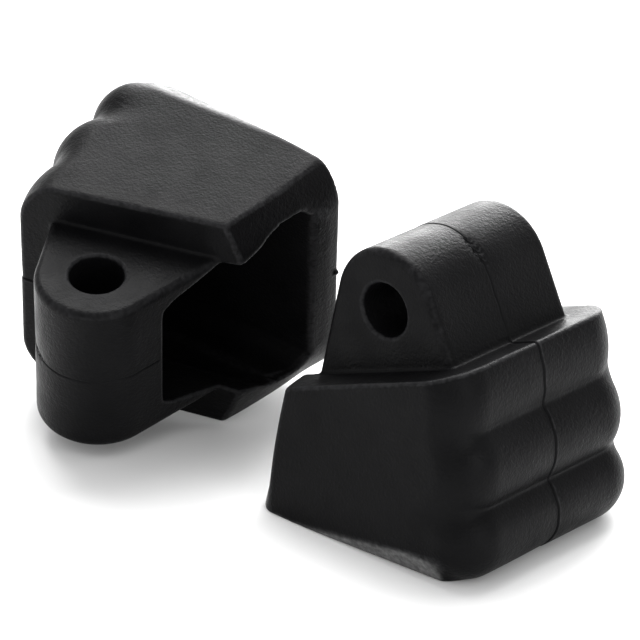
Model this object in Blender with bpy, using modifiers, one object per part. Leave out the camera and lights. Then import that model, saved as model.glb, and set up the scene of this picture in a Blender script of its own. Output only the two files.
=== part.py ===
"""A pair of black hollow boots with a bolt lug, each one moulding: one on its sole, one on its side.

Guard frame: drawn square to the open front, with +Y the ridged back, X across the width and x = 0 the
mould's parting plane. The sole falls towards the back, so the guard leans forward a little when it stands
on it. The top shelf rises towards the back, and the lug stands square on it. All sizes below are in
millimetres.
"""

import math

import bmesh
import bpy
from mathutils import Matrix, Vector

MM = 0.001

# Block
SOLE_TILT = math.radians(6.83)
SOLE_Z = -0.187  # height of the sole under the origin
SOLE_HALF_WIDTH = 20.7
SIDE_DRAFT = 0.0327  # loss of half width for each millimetre of height
SIDE_TAPER = 0.0141  # and for each millimetre towards the back
SHELF_SLOPE = math.radians(14.8)
SHELF_HEIGHT = 27.1  # above the origin, under the bore's axis
BACK_CORNER_R = 7.0
RIDGES = (  # three points (y, z) of each ridge's arc up the back, lowest ridge first
    ((13.8, -1.95), (18.8, 4.72), (16.7, 9.7)),
    ((16.7, 9.7), (18.5, 15.0), (16.0, 21.3)),
    ((16.0, 21.3), (16.6, 25.4), (15.3, 31.1)),
)
ARC_STEPS = 9

# Open front
FRONT_Y = -24.0
LIP_Z = 4.2  # upper edge of the bottom wall's front
RIM_TOP = (19.9, -17.4, 22.5)  # corner where side wall, rim and shelf meet
RIM_FOOT = (20.65, -20.8, 1.5)
RIM_SWEEP = 0.62  # how far the rim runs forward for each millimetre inwards
SHELF_FRONT_SWEEP = 0.23  # the same along the front edge of the shelf
SHELF_FRONT_LEAN = 0.40  # and for each millimetre down from it

# Slanted shoulder along both long edges of the sole, widening towards the back
SHOULDER_NORMAL = Vector((0.9017, 0.0313, -0.4324))
SHOULDER_REACH = 17.74  # from the origin, along the normal

# Hollow
FLOOR_Z = 8.1
CAVITY_HALF_WIDTH = 15.7
CAVITY_BACK_Y = 11.6
SHELF_THICKNESS = 3.6
CAVITY_CORNER_R = 3.0
LEAD_IN_BACK_Y = -22.3
ROOF_TOP = (-10.96, 34.13)  # (y, z) of the slanted roof that closes the mouth's notch inside the lug
ROOF_FOOT = (-0.53, 23.24)
# half outline of the mouth seen from the front: x, z and corner radius
MOUTH = ((15.8, FLOOR_Z, 3.2), (15.8, 13.5, 8.0), (12.7, 22.4, 2.0), (10.7, 28.0, 8.0), (9.9, 33.2, 2.4))

# Lug, in the shelf's own tilted frame: u along the shelf from the bore's axis, v square to the shelf
LUG_HALF_WIDTH = 13.5
LUG_FRONT_U = -16.4
LUG_REAR_U = 10.65
CROWN_R = 9.4
BORE_V = 9.25
LUG_FILLET = 1.2
LUG_ROOT = 2.4  # how far the lug reaches into the shelf
BORE_R = 4.15
BORE_LIP = 0.5

# The second guard lies with its right side up, tipped onto a front corner of its left wall
LYING_TURN = (154.367, -72.800, 34.688)  # degrees about X, Y and Z
LYING_PLACE = (-9.854, -60.259, 27.320)

REACH = 60.0  # half size of the cutters that trim the block along a plane


def arc_through(first, middle, last, steps):
    """Points of the circle through three points, from first up to but without last."""
    ax, ay = first
    bx, by = middle
    cx, cy = last
    area = 2 * (ax * (by - cy) + bx * (cy - ay) + cx * (ay - by))
    a2, b2, c2 = ax * ax + ay * ay, bx * bx + by * by, cx * cx + cy * cy
    centre = Vector((
        (a2 * (by - cy) + b2 * (cy - ay) + c2 * (ay - by)) / area,
        (a2 * (cx - bx) + b2 * (ax - cx) + c2 * (bx - ax)) / area,
    ))
    start = Vector(first) - centre
    turn = -start.angle_signed(Vector(last) - centre)
    points = []
    for step in range(steps):
        angle = turn * step / steps
        points.append(centre + Matrix.Rotation(angle, 2) @ start)
    return [tuple(point) for point in points]


def rounded(corners, steps=6):
    """A closed outline whose corners (x, y, radius) are rounded."""
    points = []
    for index, (x, y, radius) in enumerate(corners):
        here = Vector((x, y))
        back = (Vector(corners[index - 1][:2]) - here).normalized()
        ahead = (Vector(corners[(index + 1) % len(corners)][:2]) - here).normalized()
        if radius == 0:
            points.append((x, y))
            continue
        half = back.angle(ahead) / 2
        centre = here + (back + ahead).normalized() * radius / math.sin(half)
        first = here + back * radius / math.tan(half)
        last = here + ahead * radius / math.tan(half)
        middle = centre + (here - centre).normalized() * radius
        points += arc_through(first, middle, last, steps)
        points.append(tuple(last))
    return points


def mesh_object(name, mesh, collection):
    obj = bpy.data.objects.new(name, mesh)
    collection.objects.link(obj)
    if collection.hide_render:
        obj.hide_render = True
        obj.display_type = "WIRE"
    return obj


def prism(name, outline, half_depth, axes, collection):
    """A flat outline in millimetres, extruded both ways. axes takes its plane and depth into the guard."""
    curve = bpy.data.curves.new(name, "CURVE")
    curve.dimensions = "2D"
    curve.fill_mode = "BOTH"
    curve.extrude = half_depth * MM
    spline = curve.splines.new("POLY")
    spline.points.add(len(outline) - 1)
    for point, (x, y) in zip(spline.points, outline):
        point.co = (x * MM, y * MM, 0, 1)
    spline.use_cyclic_u = True
    guide = bpy.data.objects.new(name + "_curve", curve)
    collection.objects.link(guide)
    graph = bpy.context.evaluated_depsgraph_get()
    mesh = bpy.data.meshes.new_from_object(guide.evaluated_get(graph))
    shape = bmesh.new()
    shape.from_mesh(mesh)
    bmesh.ops.remove_doubles(shape, verts=shape.verts, dist=1e-6)
    bmesh.ops.dissolve_limit(shape, angle_limit=1e-4, verts=shape.verts, edges=shape.edges)
    bmesh.ops.transform(shape, matrix=axes, verts=shape.verts)
    bmesh.ops.recalc_face_normals(shape, faces=shape.faces)
    shape.to_mesh(mesh)
    shape.free()
    bpy.data.objects.remove(guide)
    return mesh_object(name, mesh, collection)


def half_space(name, point, normal, collection):
    """A large cube whose near face lies on the plane through point, on the side that normal points to."""
    normal = Vector(normal).normalized()
    shape = bmesh.new()
    bmesh.ops.create_cube(shape, size=2 * REACH * MM)
    place = Matrix.Translation((Vector(point) + normal * REACH) * MM)
    turn = normal.to_track_quat("Z", "Y").to_matrix().to_4x4()
    bmesh.ops.transform(shape, matrix=place @ turn, verts=shape.verts)
    mesh = bpy.data.meshes.new(name)
    shape.to_mesh(mesh)
    shape.free()
    return mesh_object(name, mesh, collection)


def combine(target, other, operation):
    modifier = target.modifiers.new(f"{operation.lower()}_{other.name}", "BOOLEAN")
    modifier.operation = operation
    modifier.solver = "EXACT"
    modifier.object = other


def bevel(target, width, segments, angle=40):
    modifier = target.modifiers.new("rounded_edges", "BEVEL")
    modifier.width = width * MM
    modifier.segments = segments
    modifier.limit_method = "ANGLE"
    modifier.angle_limit = math.radians(angle)
    modifier.use_clamp_overlap = False


# Local X and Y of an outline become Y and Z of the guard (side view) or X and Z (front view).
SIDE_VIEW = Matrix(((0, 0, 1, 0), (1, 0, 0, 0), (0, 1, 0, 0), (0, 0, 0, 1)))
FRONT_VIEW = Matrix(((1, 0, 0, 0), (0, 0, -1, 0), (0, 1, 0, 0), (0, 0, 0, 1)))
SHELF_TURN = Matrix.Rotation(SHELF_SLOPE, 4, "X")
SHELF_VIEW = Matrix.Translation((0, 0, SHELF_HEIGHT * MM)) @ SHELF_TURN @ SIDE_VIEW


def block_outline():
    """Side view of the block before it is trimmed: three ridges up the back, and the sloping shelf."""
    outline = [(FRONT_Y, RIDGES[0][0][1])]
    for ridge in RIDGES:
        outline += arc_through(*ridge, ARC_STEPS)
    rear_y, rear_z = RIDGES[-1][-1]
    outline.append((rear_y, rear_z))
    outline.append((FRONT_Y, rear_z - math.tan(SHELF_SLOPE) * (rear_y - FRONT_Y)))
    return outline


def trim_block(block, cutters):
    """Drafted side walls, swept rim, front of the shelf, shoulders and the slanted sole."""
    rise = Vector(RIM_TOP) - Vector(RIM_FOOT)
    planes = {
        "side": ((SOLE_HALF_WIDTH, 0, 0), (1, SIDE_TAPER, SIDE_DRAFT)),
        "rim": (RIM_FOOT, rise.cross(Vector((-1, -RIM_SWEEP, 0)))),
        "shelf_front": (RIM_TOP, (SHELF_FRONT_SWEEP, -1, SHELF_FRONT_LEAN)),
        "shoulder": (SHOULDER_NORMAL * SHOULDER_REACH, SHOULDER_NORMAL),
    }
    for hand, name in ((1, "right"), (-1, "left")):
        for plane, (point, normal) in planes.items():
            mirrored = [(p[0] * hand, p[1], p[2]) for p in (point, normal)]
            combine(block, half_space(f"{name}_{plane}", *mirrored, cutters), "DIFFERENCE")
    down = (0, -math.sin(SOLE_TILT), -math.cos(SOLE_TILT))
    combine(block, half_space("sole", (0, 0, SOLE_Z), down, cutters), "DIFFERENCE")


def back_corners(cutters):
    """Plan view that the block is kept inside: only its two rounded back corners touch it."""
    side, back = SOLE_HALF_WIDTH - 0.3, RIDGES[0][1][0] + 0.05
    outline = rounded((
        (side, back, BACK_CORNER_R),
        (-side, back, BACK_CORNER_R),
        (-side - 1.2, -REACH, 0),
        (side + 1.2, -REACH, 0),
    ), steps=8)
    return prism("back_corners", outline, REACH, Matrix.Identity(4), cutters)


def tangent_angle(foot_u):
    """Direction from the bore's axis to where the flank that rises from foot_u meets the crown."""
    swing = math.acos(CROWN_R / math.hypot(foot_u, BORE_V))
    return math.atan2(-BORE_V, foot_u) + math.copysign(swing, foot_u)


def lug_outline():
    """Side view of the lug: a round crown with a flank running down to the shelf on each side."""
    rear, front = tangent_angle(LUG_REAR_U), tangent_angle(LUG_FRONT_U) + 2 * math.pi
    steps = 26
    outline = [(LUG_FRONT_U, -LUG_ROOT), (LUG_REAR_U, -LUG_ROOT), (LUG_REAR_U, 0.0)]
    for step in range(steps + 1):
        angle = rear + (front - rear) * step / steps
        outline.append((CROWN_R * math.cos(angle), BORE_V + CROWN_R * math.sin(angle)))
    outline.append((LUG_FRONT_U, 0.0))
    return outline


def bore_cutter(cutters):
    """A turned profile about the bore's axis: a straight bore that flares at each cheek of the lug."""
    flare = BORE_R + BORE_LIP
    profile = (
        (0, LUG_HALF_WIDTH + 2), (flare, LUG_HALF_WIDTH + 2), (flare, LUG_HALF_WIDTH),
        (BORE_R, LUG_HALF_WIDTH - BORE_LIP), (BORE_R, BORE_LIP - LUG_HALF_WIDTH),
        (flare, -LUG_HALF_WIDTH), (flare, -LUG_HALF_WIDTH - 2), (0, -LUG_HALF_WIDTH - 2),
    )
    mesh = bpy.data.meshes.new("bore_profile")
    edges = [(index, index + 1) for index in range(len(profile) - 1)]
    mesh.from_pydata([(r * MM, 0, z * MM) for r, z in profile], edges, [])
    turned = mesh_object("bore_profile", mesh, cutters)
    screw = turned.modifiers.new("turn", "SCREW")
    screw.steps = 40
    screw.render_steps = 40
    screw.use_merge_vertices = True
    screw.merge_threshold = 0.00001
    bpy.context.view_layer.update()
    graph = bpy.context.evaluated_depsgraph_get()
    mesh = bpy.data.meshes.new_from_object(turned.evaluated_get(graph))
    bpy.data.objects.remove(turned)
    shape = bmesh.new()
    shape.from_mesh(mesh)
    bmesh.ops.remove_doubles(shape, verts=shape.verts, dist=1e-6)
    bmesh.ops.recalc_face_normals(shape, faces=shape.faces)
    axis = Matrix.Translation((0, 0, SHELF_HEIGHT * MM)) @ SHELF_TURN
    axis = axis @ Matrix.Translation((0, 0, BORE_V * MM)) @ Matrix.Rotation(math.pi / 2, 4, "Y")
    bmesh.ops.transform(shape, matrix=axis, verts=shape.verts)
    shape.to_mesh(mesh)
    shape.free()
    return mesh_object("bore", mesh, cutters)


def cavity_cutter(cutters):
    """Side view of the main hollow, rounded on its four long corners."""
    ceiling = SHELF_HEIGHT - SHELF_THICKNESS / math.cos(SHELF_SLOPE)
    slope = math.tan(SHELF_SLOPE)
    front = FRONT_Y - 6
    outline = (
        (front, FLOOR_Z),
        (CAVITY_BACK_Y, FLOOR_Z),
        (CAVITY_BACK_Y - 0.6, ceiling + slope * CAVITY_BACK_Y),
        (front, ceiling + slope * front),
    )
    hollow = prism("cavity", outline, CAVITY_HALF_WIDTH, SIDE_VIEW, cutters)
    bevel(hollow, CAVITY_CORNER_R, 4)
    return hollow


def mouth_cutter(cutters):
    """Front view of the mouth, which narrows upwards into a notch that ends inside the lug."""
    left = tuple((-x, z, radius) for x, z, radius in reversed(MOUTH))
    front = FRONT_Y - 6
    depth = (ROOF_FOOT[0] - front) / 2
    place = Matrix.Translation((0, (front + depth) * MM, 0)) @ FRONT_VIEW
    mouth = prism("mouth", rounded(MOUTH + left), depth, place, cutters)
    normal = (0, ROOF_TOP[1] - ROOF_FOOT[1], ROOF_FOOT[0] - ROOF_TOP[0])
    combine(mouth, half_space("roof", (0, *ROOF_TOP), normal, cutters), "DIFFERENCE")
    return mouth


def lead_in_cutter(cutters):
    """The slope from the lip of the bottom wall back up to the cavity's floor."""
    run = (LEAD_IN_BACK_Y - FRONT_Y) / (FLOOR_Z - LIP_Z)
    low, high = -6.0, 12.0
    outline = (
        (FRONT_Y + run * (low - LIP_Z), low),
        (FRONT_Y + run * (high - LIP_Z), high),
        (-REACH / 2, high),
        (-REACH / 2, low),
    )
    return prism("lead_in", outline, CAVITY_HALF_WIDTH - 0.7, SIDE_VIEW, cutters)


def guard_mesh(cutters):
    """The moulding in its own frame, as one mesh."""
    block = prism("block", block_outline(), 24, SIDE_VIEW, cutters)
    trim_block(block, cutters)
    combine(block, back_corners(cutters), "INTERSECT")
    lug = prism("lug", lug_outline(), LUG_HALF_WIDTH, SHELF_VIEW, cutters)
    bevel(lug, LUG_FILLET, 3)
    combine(block, lug, "UNION")
    for cutter in (cavity_cutter, mouth_cutter, lead_in_cutter, bore_cutter):
        combine(block, cutter(cutters), "DIFFERENCE")
    bpy.context.view_layer.update()
    graph = bpy.context.evaluated_depsgraph_get()
    mesh = bpy.data.meshes.new_from_object(block.evaluated_get(graph))
    mesh.name = "guard"
    return mesh


def black_rubber():
    material = bpy.data.materials.new("black_rubber")
    material.use_nodes = True
    shader = material.node_tree.nodes["Principled BSDF"]
    shader.inputs["Base Color"].default_value = (0.012, 0.012, 0.013, 1)
    shader.inputs["Roughness"].default_value = 0.42
    shader.inputs["Metallic"].default_value = 0.0
    return material


def centre_on_floor(parent, guards):
    """Moves the pair so that the origin is at the middle of its box, on the surface it stands on."""
    bpy.context.view_layer.update()
    corners = [guard.matrix_world @ vertex.co for guard in guards for vertex in guard.data.vertices]
    low = [min(corner[axis] for corner in corners) for axis in range(3)]
    high = [max(corner[axis] for corner in corners) for axis in range(3)]
    parent.location = (-(low[0] + high[0]) / 2, -(low[1] + high[1]) / 2, -low[2])
    bpy.context.view_layer.update()


def main():
    for obj in list(bpy.data.objects):
        bpy.data.objects.remove(obj)
    pair = bpy.data.collections.new("guard_pair")
    cutters = bpy.data.collections.new("cutters")
    cutters.hide_render = True
    for collection in (pair, cutters):
        bpy.context.scene.collection.children.link(collection)
    mesh = guard_mesh(cutters)
    mesh.materials.clear()
    mesh.materials.append(black_rubber())
    mesh.shade_smooth()
    mesh.set_sharp_from_angle(angle=math.radians(30))
    parent = bpy.data.objects.new("pair_origin", None)
    pair.objects.link(parent)
    standing = bpy.data.objects.new("guard_standing", mesh)
    standing.rotation_euler.x = SOLE_TILT
    lying = bpy.data.objects.new("guard_lying", mesh)
    lying.location = Vector(LYING_PLACE) * MM
    lying.rotation_euler = [math.radians(angle) for angle in LYING_TURN]
    for guard in (standing, lying):
        pair.objects.link(guard)
        guard.parent = parent
    centre_on_floor(parent, (standing, lying))


main()
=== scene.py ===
"""Looks of the pair of black moulded guards: fine mouldings, their marks, rubber, floor, light, camera."""

import math

import bpy
import numpy as np
from mathutils import Euler, Matrix, Vector


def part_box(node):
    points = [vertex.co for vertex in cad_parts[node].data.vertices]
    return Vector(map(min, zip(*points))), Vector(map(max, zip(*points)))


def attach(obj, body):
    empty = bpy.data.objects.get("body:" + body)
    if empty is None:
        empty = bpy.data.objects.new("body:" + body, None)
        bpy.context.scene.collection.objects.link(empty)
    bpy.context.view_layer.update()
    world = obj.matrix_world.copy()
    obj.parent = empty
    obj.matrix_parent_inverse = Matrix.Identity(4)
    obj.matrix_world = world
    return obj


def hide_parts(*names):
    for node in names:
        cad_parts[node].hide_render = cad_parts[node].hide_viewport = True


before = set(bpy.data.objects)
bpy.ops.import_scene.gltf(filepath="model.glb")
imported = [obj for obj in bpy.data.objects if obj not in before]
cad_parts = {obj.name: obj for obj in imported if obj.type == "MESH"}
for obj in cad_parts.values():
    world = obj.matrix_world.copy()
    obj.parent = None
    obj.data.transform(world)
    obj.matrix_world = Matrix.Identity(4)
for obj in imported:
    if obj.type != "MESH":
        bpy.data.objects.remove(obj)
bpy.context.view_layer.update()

MM = 0.001

# The moulding, drawn square to its open front in millimetres: +Y is the ridged back and x = 0 the parting
# plane. Its sole falls towards the back, so the guard leans forward by SOLE_TILT when it stands on it.
SOLE_TILT = math.radians(6.83)
SOLE_Z = -0.187
SOLE_HALF_WIDTH = 20.7
SIDE_DRAFT = 0.0327  # loss of half width for each millimetre of height
SIDE_TAPER = 0.0141  # and for each millimetre towards the back
SHELF_SLOPE = math.radians(14.8)
SHELF_HEIGHT = 27.1  # above the origin, under the bore's axis
RIDGES = (  # three points (y, z) of each ridge's arc up the back, lowest ridge first
    ((13.8, -1.95), (18.8, 4.72), (16.7, 9.7)),
    ((16.7, 9.7), (18.5, 15.0), (16.0, 21.3)),
    ((16.0, 21.3), (16.6, 25.4), (15.3, 31.1)),
)
BACK_CORE_Y = 13.5
BACK_CORNER_R = 7.2
VALLEY_R = 0.5
SHOULDER_NORMAL = (0.9017, 0.0313, -0.4324)  # slanted facet along both long edges of the sole
SHOULDER_REACH = 17.74

# Open front
FRONT_Y = -24.0
LIP_Z = 4.2
FRONT_CORNER_R = 3.0
RIM_TOP = (19.9, -17.4, 22.5)
RIM_FOOT = (20.65, -20.8, 1.5)
RIM_SWEEP = 0.62  # how far the rim runs forward for each millimetre inwards
RIM_TURN = 1.3  # added to the sweep at the foot, where the rim turns into the flat front of the bottom wall
RIM_TURN_Z = 9.0
SHELF_FRONT_SWEEP = 0.23
SHELF_FRONT_LEAN = 0.40
SHELF_FRONT_R = 2.6

# Hollow; outline points are (x, z)
FLOOR_Z = 8.1
CAVITY_HALF_WIDTH = 15.8
CAVITY_BACK_Y = 11.6
CAVITY_R = 3.0
CEILING_R = 4.0
SHELF_THICKNESS = 3.6
LEAD_IN_BACK_Y = -22.3
LEAD_IN_LOW_Z = 3.9
LEAD_IN_R = 1.6
LEAD_IN_BLEND = 1.2
MOUTH_WAIST = (15.8, 13.5)
MOUTH_TOP = (12.7, 22.4)
MOUTH_SIDE_R = 1.0
SLOT_BASE = (10.7, 28.0)
SLOT_TOP = (9.9, 33.2)
SLOT_TOP_R = 2.4
SLOT_BLEND = 1.5
ROOF_TOP = (-8.8, 9.6)  # (u, v) of the slanted roof that closes the notch inside the lug
ROOF_FOOT = (-1.5, -3.6)
ROOF_R = 1.5
MOUTH_BLEND = 1.0

# Lug, in the shelf's own tilted frame: u along the shelf from the bore's axis, v square to the shelf
LUG_HALF_WIDTH = 13.5
LUG_FRONT_U = -16.4
LUG_REAR_U = 10.65
LUG_FILLET = 1.2
LUG_ROOT = 2.4  # how far the lug reaches into the shelf
CROWN_R = 9.4
BORE_V = 9.25
BORE_R = 4.15
BORE_LIP_R = 0.6

# Edge radii
CRISP = 0.35
SOFT = 0.6
LUG_FOOT_R = 0.4
MOUTH_EDGE_R = 0.55

# Parting line between the mould's halves: a groove with a step
PARTING_DEPTH = 0.16
PARTING_HALF_WIDTH = 0.13
PARTING_STEP = 0.16
PARTING_FADE = 4.0  # the step dies away over this distance
PARTING_ON_LUG = 0.5  # share of the depth left where the lug was trimmed cleaner
PARTING_LUG_V = 1.0  # the lug's share holds above this height over the shelf
PARTING_CLEARANCE = 0.8  # no line inside the hollow, nor this near to it
WANDER = ((0.08, 0.9, 0.4), (0.06, -0.6, 1.7))  # sideways, with turns for each millimetre along y and z

# Torn scar where the moulding was broken off its runner, on the parting line behind the crown
GATE_ANGLE = math.radians(56)  # round the crown, from the lug's top towards the back
GATE_DEPTH = 0.62
GATE_HALF_WIDTH = 0.75
GATE_HALF_LENGTH = 2.3
GATE_BORE_WALL = 2.0  # the scar doesn't reach this near to the bore

# Crumb of flash left on the parting line at the front of the sole
NIB = (0.35, -24.0, 3.25)
NIB_R = 0.45
NIB_BLEND = 0.2

# Rubbed edges with painted highlight: an edge counts as rubbed and lit where the surface bends by more than
# the first value, fully past the second
EDGE_BEND_STEP = 0.45
EDGE_BEND_LIMITS = (0.35, 1.25)
# width of the painted floor reflection across the slanted facets beside the sole
FACET_REFLECTION_SPREAD = 0.12

# Mesh grid, finer beside the parting line
CELL = 0.36
FINE_CELL = 0.08
FINE_REACH = 0.5
FINE_GAP = 0.05  # least distance from the fine lines to the next coarse one
GRID_X = (-21.7, 21.7)
GRID_Y = (-25.2, 19.8)
GRID_Z = (-3.2, 46.4)
SETTLE_ROUNDS = 3
SETTLE_STEP = 0.02
SETTLE_REACH = 2 * FINE_CELL
LEAST_SLOPE = 0.25  # squared

# The guards' places
STANDING_BACK = 18.154  # the standing guard's furthest point behind its origin
LYING_TURN = (154.367, -72.800, 34.688)
LYING_PLACE = (-9.854, -60.259, 27.320)

# Rubber
RUBBER_DARK = (0.0022, 0.0022, 0.0025, 1)
RUBBER_PALE = (0.0046, 0.0046, 0.0050, 1)
# lighter grey on convex edges: partly rubbed rubber, partly a painted highlight along the edges
RUBBED_AND_HIGHLIT_EDGE = (0.016, 0.016, 0.017, 1)
# painted reflection of the white floor: a pale grey laid on the slanted facets beside the sole
FACET_PAINTED_REFLECTION = (0.20, 0.20, 0.20, 1)
ROUGHNESS = (0.34, 0.48)

# Studio
WORLD_STRENGTH = 0.95
LIGHT_TARGET = (0, 0, 0.02)
LIGHTS = (  # name, place, size, power
    ("overhead", (-0.38, -0.36, 0.90), 0.9, 19.0),
    ("back", (-0.95, -0.55, 0.30), 0.7, 19.0),
    ("front", (0.25, 0.90, 0.30), 0.4, 1.5),
)
FLOOR_SIZE = 6
FLOOR_COLOUR = (0.85, 0.85, 0.85, 1)
CAMERA_PLACE = (0.5180, 0.4391, 0.3465)
CAMERA_TURN = (64.549, -3.240, 131.327)
CAMERA_LENS = 281.75


def outer_round(a, b, radius):
    """Intersection of two distances whose shared edge is rounded outwards."""
    inside = np.minimum(np.maximum(a, b), -radius)
    return inside + np.hypot(np.maximum(a + radius, 0), np.maximum(b + radius, 0))


def inner_round(a, b, radius):
    """Union of two distances whose shared corner is filled by a fillet."""
    return -outer_round(-a, -b, radius)


def plane(point, normal, x, y, z):
    length = math.sqrt(sum(c * c for c in normal))
    return sum((q - p) * c for q, p, c in zip((x, y, z), point, normal)) / length


def circle_of(three):
    """Centre and radius of the circle through three points."""
    (ax, ay), (bx, by), (cx, cy) = three
    area = 2 * (ax * (by - cy) + bx * (cy - ay) + cx * (ay - by))
    a2, b2, c2 = ax * ax + ay * ay, bx * bx + by * by, cx * cx + cy * cy
    px = (a2 * (by - cy) + b2 * (cy - ay) + c2 * (ay - by)) / area
    py = (a2 * (cx - bx) + b2 * (ax - cx) + c2 * (bx - ax)) / area
    return px, py, math.hypot(px - ax, py - ay)


def shelf_frame(y, z):
    """Along the shelf from under the bore, and square to it."""
    cos, sin = math.cos(SHELF_SLOPE), math.sin(SHELF_SLOPE)
    rise = z - SHELF_HEIGHT
    return y * cos + rise * sin, rise * cos - y * sin


def back_distance(y, z):
    back = y - BACK_CORE_Y
    for ridge in RIDGES:
        cy, cz, radius = circle_of(ridge)
        back = inner_round(back, np.hypot(y - cy, z - cz) - radius, VALLEY_R)
    return back


def rim_distance(x, y, z):
    """The front edge of a side wall, swept forward and inwards from the wall's outer side."""
    climb = (z - RIM_FOOT[2]) / (RIM_TOP[2] - RIM_FOOT[2])
    outer_x = RIM_FOOT[0] + climb * (RIM_TOP[0] - RIM_FOOT[0])
    outer_y = RIM_FOOT[1] + climb * (RIM_TOP[1] - RIM_FOOT[1])
    turn = np.clip(1 - z / RIM_TURN_Z, 0, 1)
    sweep = RIM_SWEEP + RIM_TURN * turn * turn
    return (outer_y - sweep * (outer_x - x) - y) / np.sqrt(1 + sweep * sweep)


def shoulder_distance(x, y, z):
    return sum(c * q for c, q in zip(SHOULDER_NORMAL, (x, y, z))) - SHOULDER_REACH


def block_distance(x, y, z):
    """The block without its hollow; x is the distance from the parting plane."""
    side = plane((SOLE_HALF_WIDTH, 0, 0), (1, SIDE_TAPER, SIDE_DRAFT), x, y, z)
    body = outer_round(side, back_distance(y, z), BACK_CORNER_R)
    front = outer_round(rim_distance(x, y, z), FRONT_Y - y, FRONT_CORNER_R)
    shelf_front = plane(RIM_TOP, (SHELF_FRONT_SWEEP, -1, SHELF_FRONT_LEAN), x, y, z)
    body = outer_round(body, outer_round(front, shelf_front, SHELF_FRONT_R), SOFT)
    body = outer_round(body, shelf_frame(y, z)[1], SOFT)
    body = outer_round(body, shoulder_distance(x, y, z), CRISP)
    sole = plane((0, 0, SOLE_Z), (0, -math.sin(SOLE_TILT), -math.cos(SOLE_TILT)), x, y, z)
    return outer_round(body, sole, CRISP)


def tangent_to_crown(foot_u):
    """Unit normal of the lug's flank that runs from foot_u on the shelf up to the crown."""
    swing = math.acos(CROWN_R / math.hypot(foot_u, BORE_V))
    angle = math.atan2(-BORE_V, foot_u) + math.copysign(swing, foot_u)
    return math.cos(angle), math.sin(angle)


def lug_distance(x, u, v):
    """A round crown with a flank running down to the shelf on each side."""
    rise = v - BORE_V
    outline = np.hypot(u, rise) - CROWN_R
    flanks = []
    for foot_u in (LUG_FRONT_U, LUG_REAR_U):
        nu, nv = tangent_to_crown(foot_u)
        flank = u * nu + rise * nv - CROWN_R
        below_tangent = (rise * nu - u * nv) * math.copysign(1, foot_u) < 0
        outline = np.where(below_tangent & (u * foot_u > 0), flank, outline)
        flanks.append(flank)
    outline = np.where(v < BORE_V / 2, np.maximum(*flanks), outline)
    lug = outer_round(x - LUG_HALF_WIDTH, outline, LUG_FILLET)
    return np.maximum(lug, -LUG_ROOT - v)


def slanted(low, high, x, z):
    """Distance outside the line through two points (x, z) that bounds a hollow on its outer side."""
    return plane((low[0], 0, low[1]), (high[1] - low[1], 0, low[0] - high[0]), x, 0, z)


def hollow_distance(x, y, z):
    """Main hollow, its mouth with the notch up into the lug, and the lead-in over the bottom wall."""
    u, v = shelf_frame(y, z)
    wide = outer_round(x - CAVITY_HALF_WIDTH, FLOOR_Z - z, CAVITY_R)
    main = outer_round(wide, v + SHELF_THICKNESS, CEILING_R)
    main = outer_round(main, y - CAVITY_BACK_Y, CAVITY_R)
    mouth = outer_round(wide, slanted(MOUTH_WAIST, MOUTH_TOP, x, z), MOUTH_SIDE_R)
    mouth = np.maximum(mouth, z - SLOT_TOP[1])
    slot = outer_round(slanted(SLOT_BASE, SLOT_TOP, x, z), z - SLOT_TOP[1], SLOT_TOP_R)
    slot = np.maximum(slot, FLOOR_Z - z)
    mouth = inner_round(mouth, slot, SLOT_BLEND)
    roof_rise, roof_run = ROOF_TOP[1] - ROOF_FOOT[1], ROOF_FOOT[0] - ROOF_TOP[0]
    roof = (u - ROOF_TOP[0]) * roof_rise + (v - ROOF_TOP[1]) * roof_run
    mouth = outer_round(mouth, roof / math.hypot(roof_run, roof_rise), ROOF_R)
    slope = plane((0, FRONT_Y, LIP_Z), (0, FLOOR_Z - LIP_Z, FRONT_Y - LEAD_IN_BACK_Y), x, y, z)
    lead_in = outer_round(x - CAVITY_HALF_WIDTH, LEAD_IN_LOW_Z - z, LEAD_IN_R)
    lead_in = np.maximum(np.maximum(lead_in, slope), z - MOUTH_WAIST[1])
    return inner_round(inner_round(main, mouth, MOUTH_BLEND), lead_in, LEAD_IN_BLEND)


def parting_mark(x, y, z, v, hollow):
    """Depth of the parting line's wavering groove and step."""
    wander = sum(size * np.sin(along_y * y + along_z * z) for size, along_y, along_z in WANDER)
    offset = (x - wander) / PARTING_HALF_WIDTH
    step = PARTING_STEP * (1 + np.clip(offset, -1, 1)) / 2 * np.exp(-np.abs(x) / PARTING_FADE)
    groove = PARTING_DEPTH * np.exp(-offset * offset) + step
    share = np.where(v > PARTING_LUG_V, PARTING_ON_LUG, 1)
    return groove * share * np.clip(hollow - PARTING_CLEARANCE, 0, 1)


def gate_mark(x, u, v):
    """Depth of the scar behind the crown, torn unevenly by waves of a millimetre or so."""
    along = (np.arctan2(u, v - BORE_V) - GATE_ANGLE) * CROWN_R
    spread = np.exp(-(x / GATE_HALF_WIDTH) ** 2 - (along / GATE_HALF_LENGTH) ** 2)
    torn = 0.55 + 0.45 * np.sin(5.1 * along + 3.0 * np.sin(4.3 * x)) * np.cos(6.7 * x + 1.9 * along)
    outside = (np.hypot(u, v - BORE_V) > BORE_R + GATE_BORE_WALL) & (v > 0)
    return np.where(outside, GATE_DEPTH * spread * torn, 0)


def guard_distance(x, y, z):
    side_x = np.abs(x)
    u, v = shelf_frame(y, z)
    hollow = hollow_distance(side_x, y, z)
    bore = np.hypot(u, v - BORE_V) - BORE_R
    body = inner_round(block_distance(side_x, y, z), lug_distance(side_x, u, v), LUG_FOOT_R)
    body = outer_round(body, -hollow, MOUTH_EDGE_R)
    body = outer_round(body, -bore, BORE_LIP_R)
    body = body + parting_mark(x, y, z, v, hollow) + gate_mark(x, u, v)
    nib = np.sqrt((x - NIB[0]) ** 2 + (y - NIB[1]) ** 2 + (z - NIB[2]) ** 2) - NIB_R
    return inner_round(body, nib, NIB_BLEND)


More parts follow.
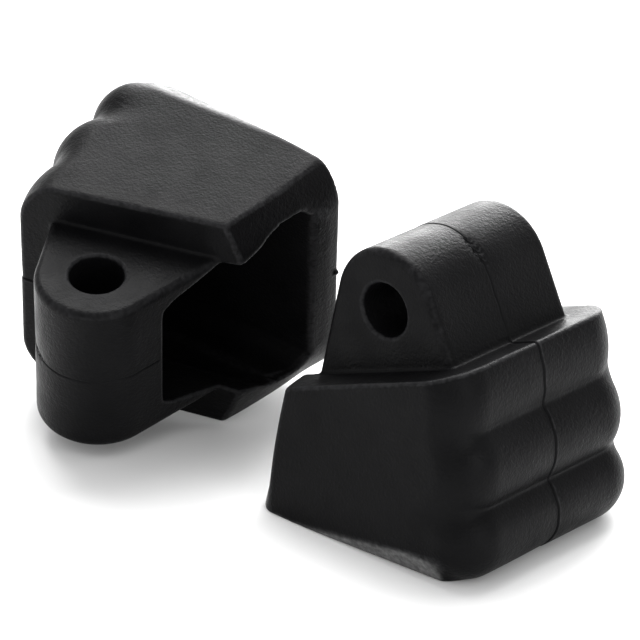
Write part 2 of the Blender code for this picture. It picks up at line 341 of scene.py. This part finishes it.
def wear_and_painted_light(points):
    """How far each point is rubbed and painted as lit along the convex edges, and how near it lies to the
    slanted shoulders beside the sole, where a floor reflection is painted.
    """
    x, y, z = points.T
    here = guard_distance(x, y, z)
    bend = np.zeros(len(points))
    for shift in np.eye(3) * EDGE_BEND_STEP:
        ahead = guard_distance(*(points + shift).T)
        behind = guard_distance(*(points - shift).T)
        bend += (ahead + behind - 2 * here) / EDGE_BEND_STEP ** 2
    least, most = EDGE_BEND_LIMITS
    edge = np.clip((bend - least) / (most - least), 0, 1)
    # painted floor reflection, strongest on the slanted facet's plane
    facet_floor_reflection = np.exp(-(shoulder_distance(np.abs(x), y, z) / FACET_REFLECTION_SPREAD) ** 2)
    return edge, facet_floor_reflection


def grid_lines(low, high):
    count = int(math.ceil((high - low) / CELL)) + 1
    return np.linspace(low, high, count)


def grid_lines_across(low, high):
    """Grid coordinates from low to high, closer together around zero."""
    coarse = grid_lines(low, high)
    close = np.arange(-FINE_REACH, FINE_REACH + FINE_CELL / 2, FINE_CELL)
    before = coarse[coarse < close[0] - FINE_GAP]
    after = coarse[coarse > close[-1] + FINE_GAP]
    return np.concatenate([before, close, after])


def along(axis):
    """Index pairs that pick the near and the far ends of a grid's edges along an axis."""
    near = [slice(None)] * 3
    far = [slice(None)] * 3
    near[axis] = slice(0, -1)
    far[axis] = slice(1, None)
    return tuple(near), tuple(far)


def cell_points(axes, values, inside):
    """One point in each cell that the surface crosses, and the number of each such cell's point."""
    shape = tuple(n - 1 for n in values.shape)
    total = np.zeros(shape + (3,))
    count = np.zeros(shape)
    grid = np.meshgrid(*axes, indexing="ij")
    for axis in range(3):
        near, far = along(axis)
        crossed = inside[near] != inside[far]
        share = np.where(crossed, values[near] / np.where(crossed, values[near] - values[far], 1), 0)
        place = [g[near] + share * (g[far] - g[near]) for g in grid]
        others = [other for other in range(3) if other != axis]
        for steps in ((0, 0), (0, 1), (1, 0), (1, 1)):
            pick = [slice(None)] * 3
            for other, step in zip(others, steps):
                pick[other] = slice(step, values.shape[other] - 1 + step)
            pick = tuple(pick)
            hit = crossed[pick]
            for part in range(3):
                total[..., part] += np.where(hit, place[part][pick], 0)
            count += hit
    used = count > 0
    index = np.full(shape, -1, np.int64)
    index[used] = np.arange(int(used.sum()))
    return total[used] / count[used][:, None], index


def cell_quads(inside, index):
    """One quad across each grid edge that the surface crosses, facing outwards."""
    quads = []
    for axis in range(3):
        a, b = (axis + 1) % 3, (axis + 2) % 3
        near, far = along(axis)
        edge = np.argwhere(inside[near] != inside[far])
        keep = (edge[:, a] > 0) & (edge[:, b] > 0)
        keep &= (edge[:, a] < inside.shape[a] - 1) & (edge[:, b] < inside.shape[b] - 1)
        edge = edge[keep]
        ring = []
        for da, db in ((-1, -1), (0, -1), (0, 0), (-1, 0)):
            cell = edge.copy()
            cell[:, a] += da
            cell[:, b] += db
            ring.append(index[tuple(cell.T)])
        quad = np.stack(ring, axis=1)
        flip = ~inside[tuple(edge.T)]
        quad[flip] = quad[flip][:, ::-1]
        quads.append(quad)
    return np.concatenate(quads)


def settle(points):
    """Moves each point along the distance's slope onto the surface."""
    for _ in range(SETTLE_ROUNDS):
        value = guard_distance(*points.T)
        slope = np.empty_like(points)
        for axis, shift in enumerate(np.eye(3) * SETTLE_STEP):
            ahead = guard_distance(*(points + shift).T)
            behind = guard_distance(*(points - shift).T)
            slope[:, axis] = (ahead - behind) / (2 * SETTLE_STEP)
        steepness = np.maximum((slope * slope).sum(axis=1), LEAST_SLOPE)
        move = slope * (value / steepness)[:, None]
        length = np.linalg.norm(move, axis=1, keepdims=True)
        points = points - move * np.minimum(1, SETTLE_REACH / np.maximum(length, 1e-9))
    return points


def guard_shape():
    """Points in millimetres and quads of one moulding, by surface nets, and the points' masks for rubbed
    edges with a painted highlight and for the painted floor reflection.
    """
    axes = [grid_lines_across(*GRID_X), grid_lines(*GRID_Y), grid_lines(*GRID_Z)]
    values = guard_distance(*np.meshgrid(*axes, indexing="ij"))
    inside = values < 0
    points, index = cell_points(axes, values, inside)
    points = settle(points)
    return points, cell_quads(inside, index), wear_and_painted_light(points)


def guard_mesh(name, points, quads, marks, place):
    turn = np.array(place.to_3x3())
    world = points * MM @ turn.T + np.array(place.translation)
    mesh = bpy.data.meshes.new(name)
    mesh.from_pydata(world.tolist(), [], quads.tolist())
    for mark, values in zip(("edge", "facet_floor_reflection"), marks):
        mesh.attributes.new(mark, "FLOAT", "POINT").data.foreach_set("value", values.astype(np.float32))
    mesh.shade_smooth()
    return mesh


def noise(tree, vector, scale, detail, roughness=0.5):
    node = tree.nodes.new("ShaderNodeTexNoise")
    node.inputs["Scale"].default_value = scale
    node.inputs["Detail"].default_value = detail
    node.inputs["Roughness"].default_value = roughness
    tree.links.new(vector, node.inputs["Vector"])
    return node.outputs["Fac"]


def remap(tree, value, low, high, out_low, out_high):
    node = tree.nodes.new("ShaderNodeMapRange")
    for name, number in (("From Min", low), ("From Max", high), ("To Min", out_low), ("To Max", out_high)):
        node.inputs[name].default_value = number
    tree.links.new(value, node.inputs["Value"])
    return node.outputs["Result"]


def bump(tree, height, strength, distance, normal=None):
    node = tree.nodes.new("ShaderNodeBump")
    node.inputs["Strength"].default_value = strength
    node.inputs["Distance"].default_value = distance
    tree.links.new(height, node.inputs["Height"])
    if normal:
        tree.links.new(normal, node.inputs["Normal"])
    return node.outputs["Normal"]


def ramp(tree, value, stops):
    """A colour ramp with two stops."""
    node = tree.nodes.new("ShaderNodeValToRGB")
    for element, (place, colour) in zip(node.color_ramp.elements, stops):
        element.position = place
        element.color = colour
    tree.links.new(value, node.inputs["Fac"])
    return node.outputs["Color"]


def attribute(tree, name):
    node = tree.nodes.new("ShaderNodeAttribute")
    node.attribute_name = name
    return node.outputs["Fac"]


def multiply(tree, a, b):
    node = tree.nodes.new("ShaderNodeMath")
    node.operation = "MULTIPLY"
    tree.links.new(a, node.inputs[0])
    tree.links.new(b, node.inputs[1])
    return node.outputs["Value"]


def blend(tree, base, colour, share):
    node = tree.nodes.new("ShaderNodeMix")
    node.data_type = "RGBA"
    node.inputs["B"].default_value = colour
    tree.links.new(base, node.inputs["A"])
    tree.links.new(share, node.inputs["Factor"])
    return node.outputs["Result"]


def rubber_material():
    """Black moulded rubber: pebbled grain, uneven sheen and colour, rubbed edges with a painted highlight,
    and a painted floor reflection on the shoulders.
    """
    material = bpy.data.materials.new("black_rubber_satin")
    material.use_nodes = True
    tree = material.node_tree
    shader = tree.nodes["Principled BSDF"]
    shader.inputs["IOR"].default_value = 1.45
    shader.inputs["Specular IOR Level"].default_value = 0.070
    place = tree.nodes.new("ShaderNodeTexCoord").outputs["Object"]
    cloud = noise(tree, place, 95.0, 4.0)
    sheen = noise(tree, place, 210.0, 3.0)
    pebble = noise(tree, place, 1300.0, 2.0)
    grain = noise(tree, place, 2600.0, 3.0, 0.6)
    base = ramp(tree, cloud, ((0.3, RUBBER_DARK), (0.75, RUBBER_PALE)))
    # convex edges lightened in patches: partly wear, partly a painted edge highlight
    rubbed_and_lit = remap(tree, multiply(tree, attribute(tree, "edge"), pebble), 0.2, 0.6, 0.0, 1.0)
    base = blend(tree, base, RUBBED_AND_HIGHLIT_EDGE, rubbed_and_lit)
    # pale grey painted over the slanted shoulders as a reflection of the white floor
    base = blend(tree, base, FACET_PAINTED_REFLECTION, multiply(tree, attribute(tree, "facet_floor_reflection"), pebble))
    tree.links.new(base, shader.inputs["Base Color"])
    tree.links.new(remap(tree, sheen, 0.3, 0.7, *ROUGHNESS), shader.inputs["Roughness"])
    pebbled = bump(tree, pebble, 0.40, 0.00016)
    tree.links.new(bump(tree, grain, 0.60, 0.00010, pebbled), shader.inputs["Normal"])
    return material


def add_guard(name, body, shape, place, material):
    mesh = guard_mesh(name, *shape, place)
    mesh.materials.append(material)
    guard = bpy.data.objects.new(name, mesh)
    bpy.context.scene.collection.objects.link(guard)
    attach(guard, body)
    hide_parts(body)


def add_floor():
    bpy.ops.mesh.primitive_plane_add(size=FLOOR_SIZE, location=(0, 0, 0))
    floor = bpy.context.object
    floor.name = "floor"
    material = bpy.data.materials.new("pale_floor")
    material.use_nodes = True
    shader = material.node_tree.nodes["Principled BSDF"]
    shader.inputs["Base Color"].default_value = FLOOR_COLOUR
    shader.inputs["Roughness"].default_value = 0.9
    floor.data.materials.append(material)


def add_light(name, place, size, power):
    data = bpy.data.lights.new(name, "AREA")
    data.shape = "SQUARE"
    data.size = size
    data.energy = power
    light = bpy.data.objects.new(name, data)
    bpy.context.scene.collection.objects.link(light)
    light.location = place
    light.rotation_euler = (Vector(LIGHT_TARGET) - Vector(place)).to_track_quat("-Z", "Y").to_euler()


def add_world():
    world = bpy.data.worlds.new("studio")
    bpy.context.scene.world = world
    world.use_nodes = True
    background = world.node_tree.nodes["Background"]
    background.inputs["Color"].default_value = (1, 1, 1, 1)
    background.inputs["Strength"].default_value = WORLD_STRENGTH


def add_camera():
    data = bpy.data.cameras.new("camera")
    data.lens = CAMERA_LENS
    data.sensor_width = 36
    data.clip_start = 0.01
    camera = bpy.data.objects.new("camera", data)
    bpy.context.scene.collection.objects.link(camera)
    camera.location = CAMERA_PLACE
    camera.rotation_euler = [math.radians(angle) for angle in CAMERA_TURN]
    bpy.context.scene.camera = camera


def guard_places():
    """World matrices of the standing and the lying moulding, from where the standing one's CAD body is."""
    low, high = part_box("guard_standing")
    origin = Vector((
        (low[0] + high[0]) / 2,
        high[1] - STANDING_BACK * MM,
        low[2] - SOLE_Z * math.cos(SOLE_TILT) * MM,
    ))
    standing = Matrix.Translation(origin) @ Matrix.Rotation(SOLE_TILT, 4, "X")
    turn = Euler([math.radians(angle) for angle in LYING_TURN]).to_matrix().to_4x4()
    return standing, Matrix.Translation(origin + Vector(LYING_PLACE) * MM) @ turn


def main():
    standing, lying = guard_places()
    shape = guard_shape()
    rubber = rubber_material()
    add_guard("standing_moulding", "guard_standing", shape, standing, rubber)
    add_guard("lying_moulding", "guard_lying", shape, lying, rubber)
    add_floor()
    add_world()
    for light in LIGHTS:
        add_light(*light)
    bpy.context.scene.view_settings.view_transform = "Standard"
    add_camera()


main()
